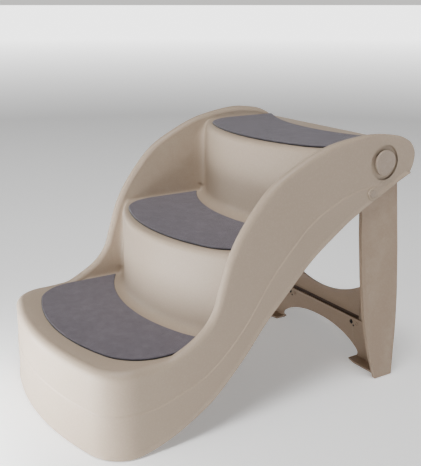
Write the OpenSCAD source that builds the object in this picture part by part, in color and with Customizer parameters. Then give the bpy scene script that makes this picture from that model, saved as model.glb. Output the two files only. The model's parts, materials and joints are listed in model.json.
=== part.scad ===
// Folding pet stairs: a moulded three-step shell with felt mats, held up by a hinged rear leg frame.
// Front at -Y, back at +Y, +Z up. The origin is on the floor under the middle of the object.

/* [Steps] */
// Rise of each step
step_rise = 130.5; // [120:0.5:160]
// Depth of the bottom step, from the front wall to the riser behind it
bottom_run = 181; // [165:1:230]
// Depth of the middle step
middle_run = 168.5; // [155:0.5:220]
// Depth of the top step, to the rear edge of its deck
top_run = 198.5; // [170:0.5:230]
// Length of the side walls behind the top deck
wall_overhang = 13.5; // [11:0.5:30]
// Height of the side walls above the top deck
wall_crest = 20; // [14:0.5:30]

/* [Shell] */
// Width over the outer faces of the side walls
shell_w = 379; // [320:1:480]
// Thickness of the moulded skin
skin_t = 3; // [2:0.25:4]
// Thickness of a side wall, over its outer and inner skins
wall_w = 16; // [15:0.5:22]
// Radius of the bowed front, seen from above
front_r = 500; // [420:5:900]
// Radius of the front corners, seen from above
corner_r = 57; // [40:1:80]
// Radius of the bowed risers, seen from above
riser_r = 300; // [260:5:600]
// Radius of the rounded rim around the bottom step
rim_r = 13; // [6:1:18]
// Radius of the rounded front edges of the upper steps
nose_r = 10; // [5:1:11]
// Height of the lower band where it goes round the front
band_h = 66; // [50:1:80]
// How far the lower band stands proud of the wall
band_t = 1; // [0.5:0.25:2]
// Height of the lip along the lower edge
lip_h = 4; // [3:0.5:8]
// How far the lip stands proud of the band
lip_t = 1; // [0.5:0.25:2]
// Height of the flange under the rear edge of the top deck
rear_flange_h = 24; // [12:1:30]
// Height of the ribs under the decks
rib_h = 10; // [5:1:14]
// Distance between the ribs
rib_pitch = 76; // [60:1:80]

/* [Mats] */
// Thickness of a felt mat with its backing
mat_t = 3; // [2:0.25:5]
// Gap between a mat and the side walls
mat_side_gap = 3; // [2:0.5:10]
// Distance from the front wall to the bottom mat
bottom_mat_inset = 33; // [20:1:45]
// Distance from a riser's face to the mat on top of it
mat_inset = 14; // [11:0.5:20]
// Distance from a mat to the riser behind it
mat_rear_gap = 18; // [8:1:25]
// Distance from the rear edge of the top deck to the middle of the top mat
top_mat_rear_gap = 48; // [35:1:70]
// Radius of the mats' bowed front edges
mat_front_r = 330; // [300:5:600]
// Radius of the mats' front corners
mat_corner_r = 74; // [40:1:80]

/* [Leg frame] */
// Distance from the middle of the pivots to the back of the side walls
pivot_from_back = 64; // [62:1:75]
// Distance from the middle of the pivots to the top of the side walls
pivot_from_top = 45; // [40:1:48]
// Thickness of a leg
leg_t = 6.5; // [5:0.25:7]
// Width of a leg where it leaves the shell
leg_w = 72; // [66:1:80]
// Width of a leg at the floor
foot_w = 36; // [30:1:44]
// How far behind the pivots the middle of a foot stands
foot_offset = 31.5; // [28:0.5:38]
// Radius of the round top of a leg
leg_top_r = 33; // [26:0.5:34]
// Gap between a side wall and a leg, which the spacer fills
side_gap = 2; // [1.5:0.25:2.5]
// Width of the rim around the pocket on a leg's inner face
leg_rim = 7; // [5:0.5:10]
// Depth of the pocket
pocket_t = 3; // [1:0.25:3.5]
// Thickness of a brace panel
brace_t = 3; // [2.5:0.25:5]
// Height of the top edge of the lower brace
seam_z = 70; // [66:1:85]
// How far the upper brace reaches down behind the lower one
brace_lap = 18; // [18:1:26]
// Height of the lowest point of the upper brace's arch
upper_arch_z = 102; // [95:1:120]
// Rise of the upper brace's arch to its ends
upper_arch_rise = 108; // [60:1:110]
// Height of the middle of the lower brace's arch
lower_arch_z = 43.5; // [25:0.5:46]
// Length of a foot plate, inward from its leg
toe_l = 73; // [50:1:80]
// Thickness of a foot plate
toe_t = 2.5; // [2:0.5:6]
// Distance from a leg's front edge back to its foot plate
toe_set = 8.5; // [6:0.5:14]

/* [Pivots] */
// Radius of a pivot pin
pin_r = 8; // [6:0.5:9]
// Radius of the round cap on a pivot pin
cap_r = 19; // [14:0.5:23]
// Thickness of the cap
cap_t = 4; // [2:0.5:6]
// Radius of the spacers and washers
washer_r = 14; // [11.5:0.5:16]
// Thickness of the inner washers
washer_t = 2; // [1:0.25:3]

/* [Lock buttons] */
// Distance from the pivots forward to the lock buttons
button_y = 22; // [16:1:22]
// Distance from the pivots down to the lock buttons
button_z = 45.5; // [44:0.5:50]
// Radius of a button's face
button_r = 5.5; // [4.5:0.25:7.5]
// Travel of a button
button_travel = 2; // [1:0.25:2]
// Radius of the collar around a button
collar_r = 9.5; // [8.5:0.5:14]

/* [Foot pads] */
// Thickness of the rubber pads
pad_t = 1.5; // [1.25:0.25:3]
// Radius of the pads under the shell
pad_r = 9; // [6:0.5:10]

/* [Hidden] */
$fn = 96;

// Running clearance of pins in their bores, gap beside moving faces, and overrun of every cut
running = 0.06;
loose = 0.3;
over = 1;

// Segments of a bowed edge, of a quarter round, of a wall's quarter round and of each stretch of a curve
bow_steps = 24;
round_steps = 4;
wall_steps = 5;
curve_steps = 4;

// Overall sizes
depth = lip_t + band_t + bottom_run + middle_run + top_run + wall_overhang;
height = 3 * step_rise + wall_crest;
y_back = depth / 2;
y_front = lip_t + band_t - y_back;
riser_y = [y_front, y_front + bottom_run, y_front + bottom_run + middle_run];
deck_z = [step_rise, 2 * step_rise, 3 * step_rise];
block_r = [front_r, riser_r, riser_r];
riser_corner_r = nose_r + skin_t;
block_corner_r = [corner_r, riser_corner_r, riser_corner_r];
block_w = [shell_w, shell_w - skin_t, shell_w - skin_t];
block_from_z = [0, deck_z[0] - skin_t / 2, deck_z[1] - skin_t / 2];
block_edge_r = [rim_r, nose_r, nose_r];
deck_back = riser_y[2] + top_run;
wall_x = shell_w / 2;
wall_in_x = wall_x - wall_w;
wall_round_r = wall_w / 2;
wall_from_z = deck_z[0] - rim_r;
channel_in_x = wall_in_x + skin_t;
channel_out_x = wall_x - skin_t;
section_x = wall_in_x - over;
section_z = [deck_z[0] + over, deck_z[1] + over, height];
ground_gap = pad_t / 2;

// Pivots and leg frame
pivot_y = y_back - pivot_from_back;
pivot_z = height - pivot_from_top;
leg_out_x = channel_out_x - side_gap;
leg_in_x = leg_out_x - leg_t;
foot_y = pivot_y + foot_offset;
foot_back = foot_y + foot_w / 2;
foot_front = foot_y - foot_w / 2;
flange_w = 15;
flange_t = 3;
upper_brace_y = foot_back - brace_t;
lower_brace_y = upper_brace_y - brace_t;
flange_y = upper_brace_y - flange_t;
brace_x = leg_in_x - loose;
upper_arch_r = (brace_x * brace_x + upper_arch_rise * upper_arch_rise) / (2 * upper_arch_rise);
toe_z = pad_t + toe_t;
toe_x = leg_in_x - toe_l;
lower_arch_x = toe_x + toe_t;
toe_chamfer = [6 * toe_t, 1.5 * toe_t];
pocket_floor = toe_z + seam_z;
pocket_top = pivot_z - button_z - 2 * collar_r;
tongue_w = 2 * button_r;
tongue_l = 2 * collar_r;
slot_w = 1.5;

// Outlines of the side walls, as shares of the depth and the height
wall_top_shares = [
    [0.186, 0.308], [0.240, 0.327], [0.314, 0.382], [0.353, 0.444], [0.373, 0.522], [0.402, 0.638],
    [0.447, 0.741], [0.520, 0.853], [0.606, 0.922], [0.704, 0.974], [0.830, 0.999], [0.921, 0.988],
    [0.965, 0.968], [0.987, 0.946], [0.9985, 0.917], [0.9985, 0.889], [0.994, 0.863], [0.984, 0.842]
];
lower_edge_shares = [
    [0.091, 0.000], [0.116, 0.003], [0.168, 0.014], [0.232, 0.044], [0.287, 0.083], [0.335, 0.124],
    [0.374, 0.170], [0.443, 0.269], [0.504, 0.372], [0.575, 0.471], [0.651, 0.574], [0.749, 0.671],
    [0.809, 0.720], [0.935, 0.808], [0.985, 0.838]
];
// Top of the lower band on the sides, past its level stretch
crease_shares = [
    [0.186, 0.165], [0.242, 0.185], [0.315, 0.224], [0.383, 0.289], [0.452, 0.392], [0.521, 0.528],
    [0.607, 0.656], [0.668, 0.725], [0.741, 0.773], [0.800, 0.796], [0.836, 0.803]
];
// Edges of a leg, as shares of its width from the pivot and of the pivot's height
leg_front_shares = [
    [-0.455, 0.94], [-0.490, 0.85], [-0.483, 0.75], [-0.445, 0.64], [-0.388, 0.52], [-0.315, 0.40],
    [-0.237, 0.30], [-0.052, 0.15]
];
leg_rear_shares = [
    [0.709, 0.14], [0.717, 0.28], [0.690, 0.43], [0.624, 0.60], [0.554, 0.74], [0.500, 0.85], [0.455, 0.94]
];
// Half of the lower brace's arch, as shares of its half width and of its height
arch_shares = [
    [0.985, 0], [1.00, 0.10], [0.995, 0.20], [0.96, 0.31], [0.90, 0.42], [0.81, 0.56], [0.69, 0.70],
    [0.55, 0.82], [0.36, 0.93], [0.18, 0.985], [0, 1]
];

// Screws
screw_r = 2;
screw_head_r = 4;
screw_head_t = 1.8;
brace_screw_x = lower_arch_x - 5 * screw_head_r;
brace_screw_z = seam_z - brace_lap / 2;
leg_screw_x = leg_in_x - flange_w / 2;
leg_screw_z = [seam_z + 2 * flange_w / 2, upper_arch_z + 3 * flange_w];
pivot_screw_r = 3;
pivot_screw_l = 14;
pivot_head_r = 6.5;
pivot_head_t = 3;
pin_end_x = leg_in_x - loose;
cap_edge_r = cap_t / 4;

// Lock buttons, in the order of their parts from the leg outward
retainer_x = leg_out_x + side_gap / 4;
retainer_t = 1.2;
button_gap = 0.1;
button_edge = 1.2;
button_proud = 0.8;
button_bore_r = button_r + button_edge + button_gap;
stem_r = 2;
collar_out = 3;
collar_lip = 1.2;
collar_x = wall_x + collar_out;
button_top_x = collar_x - collar_lip;
button_edge_x = button_top_x - button_edge;
wire_r = 0.3;
spring_r = 2 * stem_r + wire_r;
spring_turns = 3;
wire_sides = 6;
turn_steps = 16;
spring_from_x = retainer_x + retainer_t;

// Rubber pads under the shell and the lugs inside its lower edge that carry them
lug_t = 3;
front_pad_share = 0.62;
front_pad_x = front_pad_share * wall_in_x;
front_pad_y = y_front + front_r - sqrt(front_r * front_r - front_pad_x * front_pad_x) + skin_t + pad_r + over;
side_pad_x = wall_in_x - pad_r;
side_pad_y = y_front + corner_r;

function flat(lists) = [for (list = lists) for (item = list) item];
function last_of(p) = p[len(p) - 1];
function reversed(p) = [for (i = [len(p) - 1:-1:0]) p[i]];
function inner_points(p) = [for (i = [1:len(p) - 2]) p[i]];
function arc(centre, r, from, to, steps) = [
    for (i = [0:steps]) let (a = from + (to - from) * i / steps) centre + r * [cos(a), sin(a)]
];
function between(a, b, c, d, t) = 0.5 * (2 * b + (c - a) * t + (2 * a - 5 * b + 4 * c - d) * t * t
    + (3 * b - a - 3 * c + d) * t * t * t);
// A smooth curve through the points
function smooth(p) = let (n = len(p) - 1) concat([
    for (i = [0:n - 1]) for (s = [0:curve_steps - 1])
        between(p[max(i - 1, 0)], p[i], p[i + 1], p[min(i + 2, n)], s / curve_steps)
], [p[n]]);
// An open curve moved to its right
function shifted(p, d) = let (n = len(p) - 1) [
    for (i = [0:n]) let (v = p[min(i + 1, n)] - p[max(i - 1, 0)]) p[i] + d * [v[1], -v[0]] / norm(v)
];
function side_curve(shares) = smooth([for (s = shares) [s[0] * depth - y_back, s[1] * height]]);
function leg_curve(shares) = [for (s = shares) [pivot_y + s[0] * leg_w, s[1] * pivot_z]];

// Outline seen from above: a bowed front, round front corners and straight sides, all drawn in by inset
function bowed(w, front, r, corner, back, inset = 0) = let (
    cx = w / 2 - corner,
    cy = front + r - sqrt(pow(r - corner, 2) - cx * cx),
    a = acos(cx / (r - corner))
) concat(
    [[w / 2 - inset, back]],
    arc([cx, cy], corner - inset, 0, -a, 2 * round_steps),
    inner_points(arc([0, front + r], r - inset, -a, a - 180, bow_steps)),
    arc([-cx, cy], corner - inset, a - 180, -180, 2 * round_steps),
    [[inset - w / 2, back]]
);
function block_outline(i, back, inset = 0) =
    bowed(block_w[i], riser_y[i], block_r[i], block_corner_r[i], back, inset);

wall_top = side_curve(wall_top_shares);
lower_edge = side_curve(lower_edge_shares);
crease = side_curve(crease_shares);
function wall_outline(inset) = let (top = shifted(wall_top, inset))
    concat(top, [[last_of(top)[0], wall_from_z], [top[0][0], wall_from_z]]);

leg_front = smooth(concat(leg_curve(leg_front_shares), [[foot_front, ground_gap]]));
leg_rear = smooth(concat([[foot_back, ground_gap]], leg_curve(leg_rear_shares)));

// A mat's rear edge keeps the same distance from the riser behind it
function mat_outline(front, rear) = let (
    w = 2 * (wall_in_x - mat_side_gap),
    r = riser_r + mat_rear_gap,
    a = asin(w / 2 / r),
    edge = arc([0, rear + r], r, a - 90, -a - 90, bow_steps)
) concat(
    bowed(w, front, mat_front_r, mat_corner_r, edge[0][1]),
    inner_points(reversed(edge))
);

// A solid skinned over rings of points
module loft(rings) {
    n = len(rings[0]);
    top = len(rings) - 1;
    polyhedron(points = flat(rings), faces = concat(
        [[for (j = [0:n - 1]) j]],
        [[for (j = [n - 1:-1:0]) top * n + j]],
        flat([for (i = [0:top - 1]) for (j = [0:n - 1]) let (k = (j + 1) % n) [
            [i * n + k, i * n + j, (i + 1) * n + j],
            [i * n + k, (i + 1) * n + j, (i + 1) * n + k]
        ]])
    ));
}

// Extrudes an outline drawn in Y and Z along X
module along_x(from, to) {
    translate([from, 0, 0]) rotate([90, 0, 90]) linear_extrude(to - from) children();
}

// Extrudes an outline drawn in X and Z along Y
module along_y(from, to) {
    translate([0, to, 0]) rotate([90, 0, 0]) linear_extrude(to - from) children();
}

// A round solid on an axis along X, from a profile of radii and places in X
module turned(profile, y, z) {
    translate([0, y, z]) rotate([0, 90, 0]) rotate_extrude() polygon(profile);
}

module both_sides() {
    children();
    mirror([1, 0, 0]) children();
}

// One step's block with its rounded upper edge, all drawn in by inset
module step_block(i, from, back, inset = 0) {
    r = block_edge_r[i] - inset;
    rounding = [for (s = [0:round_steps]) let (a = 90 * s / round_steps)
        [inset + r * (1 - cos(a)), deck_z[i] - inset - r * (1 - sin(a))]];
    loft([for (s = concat([[inset, from]], rounding))
        reversed([for (p = block_outline(i, back, s[0])) [p[0], p[1], s[1]]])]);
}

// A side wall before it is hollowed, with its upper edge fully rounded
module side_wall() {
    loft([for (s = [-wall_steps:wall_steps]) let (
        a = 90 * s / wall_steps,
        x = wall_x - wall_round_r * (1 - sin(a))
    ) reversed([for (p = wall_outline(wall_round_r * (1 - cos(a)))) [x, p[0], p[1]]])]);
}

// A skin around the outside of the shell, where the side view's outline lets it stand
module proud_skin(t) {
    intersection() {
        linear_extrude(height) difference() {
            polygon(block_outline(0, y_back, -t));
            polygon(block_outline(0, y_back + over, skin_t / 2));
        }
        along_x(-wall_x - t - over, wall_x + t + over) children();
    }
}

module band() {
    end = last_of(crease);
    before = y_front - band_t - over;
    proud_skin(band_t) polygon(concat(
        [[before, 0], [before, band_h]], crease, [[end[0], 0]]
    ));
}

module lip() {
    before = y_front - band_t - lip_t - over;
    proud_skin(band_t + lip_t) polygon(concat(
        [[before, -over]], shifted(lower_edge, over), reversed(shifted(lower_edge, -lip_h)), [[before, lip_h]]
    ));
}

module step_hollow(i) {
    step_block(i, block_from_z[i] - skin_t, deck_back + over, skin_t);
}

module under_cut() {
    end = last_of(lower_edge);
    along_x(-wall_x - wall_w, wall_x + wall_w) union() {
        polygon(concat(lower_edge, [[y_back + over, end[1]], [y_back + over, -over], [lower_edge[0][0], -over]]));
        translate([-depth, -over]) square([depth + y_back, over + ground_gap]);
    }
}

module deck_ribs(i, back) {
    translate([0, 0, deck_z[i] - skin_t - rib_h]) linear_extrude(rib_h + skin_t / 2) intersection() {
        polygon(block_outline(i, back + skin_t / 2, block_edge_r[i]));
        for (k = i == 0 ? [-1:1] : [-2:2])
            translate([k * rib_pitch - skin_t / 2, y_front]) square([skin_t, depth]);
    }
}

module rear_flange() {
    translate([-channel_in_x, deck_back - skin_t, deck_z[2] - rear_flange_h])
        cube([2 * channel_in_x, skin_t, rear_flange_h - skin_t / 2]);
}

// A plate over a foot pad, from the front wall or the side wall inward
module pad_lug(from, size) {
    intersection() {
        translate([0, 0, pad_t]) linear_extrude(lug_t) polygon(block_outline(0, 0, skin_t / 2));
        translate([from[0], from[1], 0]) cube([size[0], size[1], 2 * lug_t + pad_t]);
    }
}

// The shell is one moulding. Its nodes are five sections that meet face to face, so that the collision of each can
// follow its walls: the side walls outside section_x, and each step up to section_z.
module step_section(i) {
    from = i == 0 ? -over : section_z[i - 1];
    color([0.70, 0.65, 0.58]) intersection() {
        union() {
            difference() {
                union() {
                    for (k = [i:min(i + 1, 2)]) step_block(k, block_from_z[k], deck_back);
                    if (i == 0) band();
                    if (i == 0) lip();
                }
                for (k = [i:min(i + 1, 2)]) step_hollow(k);
                under_cut();
            }
            deck_ribs(i, i == 2 ? deck_back - skin_t : riser_y[i + 1]);
            if (i == 2) rear_flange();
            if (i == 0) both_sides() pad_lug([front_pad_x - pad_r, y_front], [2 * pad_r, front_pad_y + pad_r - y_front]);
        }
        translate([-section_x, -depth, from]) cube([2 * section_x, 2 * depth, section_z[i] - from]);
    }
}

module side_section() {
    color([0.70, 0.65, 0.58]) difference() {
        union() {
            intersection() {
                difference() {
                    union() {
                        for (i = [0:2]) step_block(i, block_from_z[i], deck_back);
                        side_wall();
                        band();
                        lip();
                    }
                    for (i = [0:2]) step_hollow(i);
                    along_x(channel_in_x, channel_out_x) polygon(wall_outline(skin_t));
                    under_cut();
                }
                translate([section_x, -depth, -over]) cube([wall_w + depth, 2 * depth, height + 2 * over]);
            }
            intersection() {
                rear_flange();
                translate([section_x, 0, 0]) cube([wall_w, depth, height]);
            }
            pad_lug([side_pad_x - pad_r, side_pad_y - pad_r], [wall_w + 2 * pad_r, 2 * pad_r]);
            turned([[0, retainer_x], [collar_r, retainer_x], [collar_r, collar_x], [0, collar_x]],
                pivot_y - button_y, pivot_z - button_z);
        }
        turned([[0, channel_in_x], [pin_r + running, channel_in_x],
            [pin_r + running, wall_x + over], [0, wall_x + over]], pivot_y, pivot_z);
        turned([[0, retainer_x - over], [button_bore_r, retainer_x - over], [button_bore_r, button_top_x],
            [button_r + button_gap, button_top_x], [button_r + button_gap, collar_x + over], [0, collar_x + over]],
            pivot_y - button_y, pivot_z - button_z);
    }
}

module shell_bottom_step() { step_section(0); }
module shell_middle_step() { step_section(1); }
module shell_top_step() { step_section(2); }
module shell_right_side() { side_section(); }
module shell_left_side() { mirror([1, 0, 0]) side_section(); }

module tread_mat(i, front, rear) {
    color([0.38, 0.37, 0.40]) translate([0, 0, deck_z[i]]) linear_extrude(mat_t) intersection() {
        polygon(mat_outline(front, rear));
        translate([-wall_x, y_front]) square([shell_w, deck_back - skin_t - y_front]);
    }
}

module tread_mat_bottom() {
    tread_mat(0, riser_y[0] + bottom_mat_inset, riser_y[1] - mat_rear_gap);
}

module tread_mat_middle() {
    tread_mat(1, riser_y[1] + mat_inset, riser_y[2] - mat_rear_gap);
}

module tread_mat_top() {
    tread_mat(2, riser_y[2] + mat_inset, deck_back - top_mat_rear_gap);
}

// The foot plate seen from above, drawn in by inset
module toe_outline(inset = 0) {
    front = foot_front + toe_set + inset;
    inner = toe_x + inset;
    polygon([[leg_in_x, front], [inner + toe_chamfer[0], front], [inner, front + toe_chamfer[1]],
        [inner, foot_back - inset], [leg_in_x, foot_back - inset]]);
}

// A slot round three sides of the latch tongue behind the lock button
module tongue_slot() {
    translate([pivot_y - button_y, pivot_z - button_z]) difference() {
        translate([-tongue_w / 2 - slot_w, -tongue_l / 2]) square([tongue_w + 2 * slot_w, tongue_l]);
        translate([-tongue_w / 2, -tongue_l / 2 - over]) square([tongue_w, tongue_l + over - slot_w]);
    }
}

module leg() {
    color([0.60, 0.54, 0.49]) difference() {
        union() {
            along_x(leg_in_x, leg_out_x) polygon(concat(
                leg_front, leg_rear, arc([pivot_y, pivot_z], leg_top_r, 0, 180, 8 * round_steps)
            ));
            translate([0, 0, pad_t]) linear_extrude(toe_t) toe_outline();
            translate([leg_in_x - flange_w, flange_y, seam_z + loose])
                cube([flange_w + over, flange_t, last_of(leg_screw_z) + flange_w / 2 - seam_z]);
        }
        along_x(leg_in_x - over, leg_in_x + pocket_t) intersection() {
            polygon(concat(shifted(leg_front, -leg_rim), shifted(leg_rear, -leg_rim)));
            translate([0, pocket_floor]) square([y_back, pocket_top - pocket_floor]);
        }
        along_x(leg_in_x - over, leg_out_x + over) tongue_slot();
        turned([[0, leg_in_x - over], [pin_r + running, leg_in_x - over],
            [pin_r + running, leg_out_x + over], [0, leg_out_x + over]], pivot_y, pivot_z);
        for (z = leg_screw_z) screw_hole(leg_screw_x, flange_y, z);
    }
}

module right_leg() {
    leg();
}

module left_leg() {
    mirror([1, 0, 0]) leg();
}

// A hole through a panel or flange with a recess for the screw's head in its front
module screw_hole(x, y, z) {
    translate([x, y - over, z]) rotate([-90, 0, 0]) {
        cylinder(r = screw_r + running, h = 2 * brace_t + over);
        cylinder(r = screw_head_r + loose, h = screw_head_t + over);
    }
}

module upper_brace() {
    a = asin(brace_x / upper_arch_r);
    color([0.58, 0.52, 0.47]) difference() {
        along_y(upper_brace_y, foot_back) difference() {
            translate([-brace_x, seam_z - brace_lap])
                square([2 * brace_x, upper_arch_z + upper_arch_rise - seam_z + brace_lap]);
            polygon(concat(arc([0, upper_arch_z + upper_arch_r], upper_arch_r, -90 - a, -90 + a, 2 * bow_steps),
                [[brace_x + over, height], [-brace_x - over, height]]));
        }
        both_sides() for (p = concat([[brace_screw_x, brace_screw_z]], [for (z = leg_screw_z) [leg_screw_x, z]]))
            translate([p[0], upper_brace_y - over, p[1]]) rotate([-90, 0, 0])
                cylinder(r = screw_r + running, h = brace_t + 2 * over);
    }
}

module lower_brace() {
    arch = smooth([for (s = arch_shares) [s[0] * lower_arch_x, toe_z + s[1] * (lower_arch_z - toe_z)]]);
    color([0.62, 0.56, 0.50]) difference() {
        along_y(lower_brace_y, upper_brace_y) difference() {
            translate([-brace_x, toe_z]) square([2 * brace_x, seam_z - toe_z]);
            polygon(concat([[arch[0][0], 0]], arch, [for (p = reversed(arch)) [-p[0], p[1]]], [[-arch[0][0], 0]]));
        }
        both_sides() screw_hole(brace_screw_x, lower_brace_y, brace_screw_z);
    }
}

// A screw with its head flush in the front of a panel, reaching through to a given place
module screw(x, y, z, end) {
    translate([x, y, z]) rotate([-90, 0, 0]) {
        cylinder(r = screw_head_r, h = screw_head_t);
        cylinder(r = screw_r, h = end - y);
    }
}

module brace_screws() {
    color([0.25, 0.24, 0.24]) both_sides() screw(brace_screw_x, lower_brace_y, brace_screw_z, foot_back);
}

module leg_screws() {
    color([0.25, 0.24, 0.24]) both_sides() for (z = leg_screw_z)
        screw(leg_screw_x, flange_y, z, foot_back);
}

module pivot_pin() {
    color([0.66, 0.60, 0.54]) difference() {
        turned(concat(
            [[0, pin_end_x], [pin_r, pin_end_x], [pin_r, wall_x], [cap_r, wall_x]],
            arc([cap_r - cap_edge_r, wall_x + cap_t - cap_edge_r], cap_edge_r, 0, 90, round_steps),
            [[0, wall_x + cap_t]]
        ), pivot_y, pivot_z);
        turned([[0, pin_end_x - over], [pivot_screw_r + running, pin_end_x - over],
            [pivot_screw_r + running, pin_end_x + pivot_screw_l - cap_t], [0, pin_end_x + pivot_screw_l - cap_t]],
            pivot_y, pivot_z);
    }
}

module ring(inner, outer, from, to, y, z) {
    turned([[inner, from], [outer, from], [outer, to], [inner, to]], y, z);
}

module pivot_spacer() {
    color([0.88, 0.87, 0.84]) ring(pin_r + running, washer_r, leg_out_x + loose / 2, channel_out_x, pivot_y, pivot_z);
}

module pivot_washer() {
    color([0.72, 0.73, 0.75]) ring(pivot_screw_r + running, washer_r, pin_end_x - washer_t, pin_end_x, pivot_y, pivot_z);
}

module pivot_screw() {
    head_x = pin_end_x - washer_t;
    color([0.72, 0.73, 0.75]) turned([[0, head_x - pivot_head_t], [pivot_head_r, head_x - pivot_head_t],
        [pivot_head_r, head_x], [pivot_screw_r, head_x], [pivot_screw_r, head_x + pivot_screw_l - cap_t],
        [0, head_x + pivot_screw_l - cap_t]], pivot_y, pivot_z);
}

module lock_button() {
    color([0.68, 0.62, 0.56]) turned([[0, retainer_x + button_travel], [stem_r, retainer_x + button_travel],
        [stem_r, button_edge_x], [button_r + button_edge, button_edge_x], [button_r + button_edge, button_top_x],
        [button_r, button_top_x], [button_r, collar_x + button_proud], [0, collar_x + button_proud]],
        pivot_y - button_y, pivot_z - button_z);
}

module button_retainer() {
    color([0.45, 0.42, 0.40]) ring(stem_r + 2 * button_gap, button_bore_r - running, retainer_x, spring_from_x,
        pivot_y - button_y, pivot_z - button_z);
}

module lock_spring() {
    rise = button_edge_x - spring_from_x - 2 * wire_r;
    steps = spring_turns * turn_steps;
    color([0.78, 0.79, 0.80]) translate([spring_from_x + wire_r, pivot_y - button_y, pivot_z - button_z])
        loft([for (s = [0:steps]) let (a = 360 * s / turn_steps) reversed([
            for (k = [0:wire_sides - 1]) let (b = 360 * k / wire_sides, r = spring_r + wire_r * cos(b))
                [rise * s / steps + wire_r * sin(b), r * cos(a), r * sin(a)]
        ])]);
}

module right_pivot_pin() { pivot_pin(); }
module left_pivot_pin() { mirror([1, 0, 0]) pivot_pin(); }
module right_pivot_spacer() { pivot_spacer(); }
module left_pivot_spacer() { mirror([1, 0, 0]) pivot_spacer(); }
module right_pivot_washer() { pivot_washer(); }
module left_pivot_washer() { mirror([1, 0, 0]) pivot_washer(); }
module right_pivot_screw() { pivot_screw(); }
module left_pivot_screw() { mirror([1, 0, 0]) pivot_screw(); }
module right_lock_button() { lock_button(); }
module left_lock_button() { mirror([1, 0, 0]) lock_button(); }
module right_lock_spring() { lock_spring(); }
module left_lock_spring() { mirror([1, 0, 0]) lock_spring(); }
module right_button_retainer() { button_retainer(); }
module left_button_retainer() { mirror([1, 0, 0]) button_retainer(); }

module leg_foot_pads() {
    color([0.20, 0.19, 0.19]) both_sides() linear_extrude(pad_t) toe_outline(slot_w);
}

module shell_foot_pads() {
    color([0.20, 0.19, 0.19]) both_sides() for (p = [[front_pad_x, front_pad_y], [side_pad_x, side_pad_y]])
        translate([p[0], p[1], 0]) cylinder(r = pad_r - over, h = pad_t);
}

shell_bottom_step();
shell_middle_step();
shell_top_step();
shell_left_side();
shell_right_side();
tread_mat_bottom();
tread_mat_middle();
tread_mat_top();
left_leg();
right_leg();
upper_brace();
lower_brace();
brace_screws();
leg_screws();
left_pivot_pin();
right_pivot_pin();
left_pivot_spacer();
right_pivot_spacer();
left_pivot_washer();
right_pivot_washer();
left_pivot_screw();
right_pivot_screw();
left_lock_button();
right_lock_button();
left_lock_spring();
right_lock_spring();
left_button_retainer();
right_button_retainer();
leg_foot_pads();
shell_foot_pads();
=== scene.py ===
import json
import math

import bmesh
import bpy
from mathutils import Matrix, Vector, noise


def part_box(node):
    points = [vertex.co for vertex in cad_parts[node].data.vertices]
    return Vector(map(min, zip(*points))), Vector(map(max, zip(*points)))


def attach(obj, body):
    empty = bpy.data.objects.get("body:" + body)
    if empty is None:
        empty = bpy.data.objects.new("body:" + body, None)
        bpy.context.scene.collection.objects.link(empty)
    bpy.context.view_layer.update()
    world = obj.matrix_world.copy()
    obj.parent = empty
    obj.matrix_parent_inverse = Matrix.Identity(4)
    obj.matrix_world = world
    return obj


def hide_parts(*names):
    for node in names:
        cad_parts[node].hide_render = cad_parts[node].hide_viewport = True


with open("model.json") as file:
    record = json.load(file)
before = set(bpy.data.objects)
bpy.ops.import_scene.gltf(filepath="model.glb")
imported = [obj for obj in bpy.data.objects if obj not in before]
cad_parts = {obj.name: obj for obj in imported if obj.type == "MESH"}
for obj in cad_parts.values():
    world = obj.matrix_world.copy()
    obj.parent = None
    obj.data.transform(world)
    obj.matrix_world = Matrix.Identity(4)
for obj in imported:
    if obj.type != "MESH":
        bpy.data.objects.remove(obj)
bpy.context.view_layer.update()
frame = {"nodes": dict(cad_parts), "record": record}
nodes = frame["nodes"]

MM = 0.001

# Camera
cam_data = bpy.data.cameras.new("camera")
cam_data.sensor_width = 36.0
cam_data.lens = 60.74
cam_data.shift_x = -0.0006
cam_data.shift_y = -0.0099
cam_data.clip_start = 0.05
cam_data.clip_end = 60.0
camera = bpy.data.objects.new("camera", cam_data)
camera.location = (1.0436, -0.6180, 0.6061)
camera.rotation_euler = (math.radians(73.6), 0.0, math.radians(58.3))
bpy.context.scene.collection.objects.link(camera)
bpy.context.scene.camera = camera

# Sizes of the shell, in millimetres
DEPTH, HEIGHT = 563.5, 411.5
Y_BACK = DEPTH / 2
Y_FRONT = -279.75
RISER_Y = [Y_FRONT, -98.75, 69.75]
DECK_Z = [130.5, 261.0, 391.5]
DECK_BACK = 268.25
FRONT_R, CORNER_R, RISER_R = 500.0, 57.0, 300.0
RIM_R, NOSE_R, BASE_R = 13.0, 10.0, 17.0
WALL_X, WALL_IN = 189.5, 173.5
WALL_W, WALL_R, WALL_END_R = 16.0, 8.0, 1.8
SKIN = 3.0
BAND, LIP, LIP_H, BAND_Z = 1.0, 1.5, 6.4, 66.0
PIVOT = (217.75, 366.5)
BUTTON = (195.75, 321.0)
CHAMFER = 2.0
FILLET, RISER_FILLET = 7.0, 15.0
REAR_R, REAR_DROP = 4.0, 24.0

# The rim grows into the side wall over WALL_START and the wall's outer edge gets sharper over SHARP_END,
# both along Y. The raised band fades out over BAND_FADE, in shares of the side's length.
WALL_START, SHARP_END, BAND_FADE = (-186.0, -128.0), (120.0, 215.0), (0.875, 0.905)

# The radius at which a turned profile stops short of its axis
AXIS_R = 0.01

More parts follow.
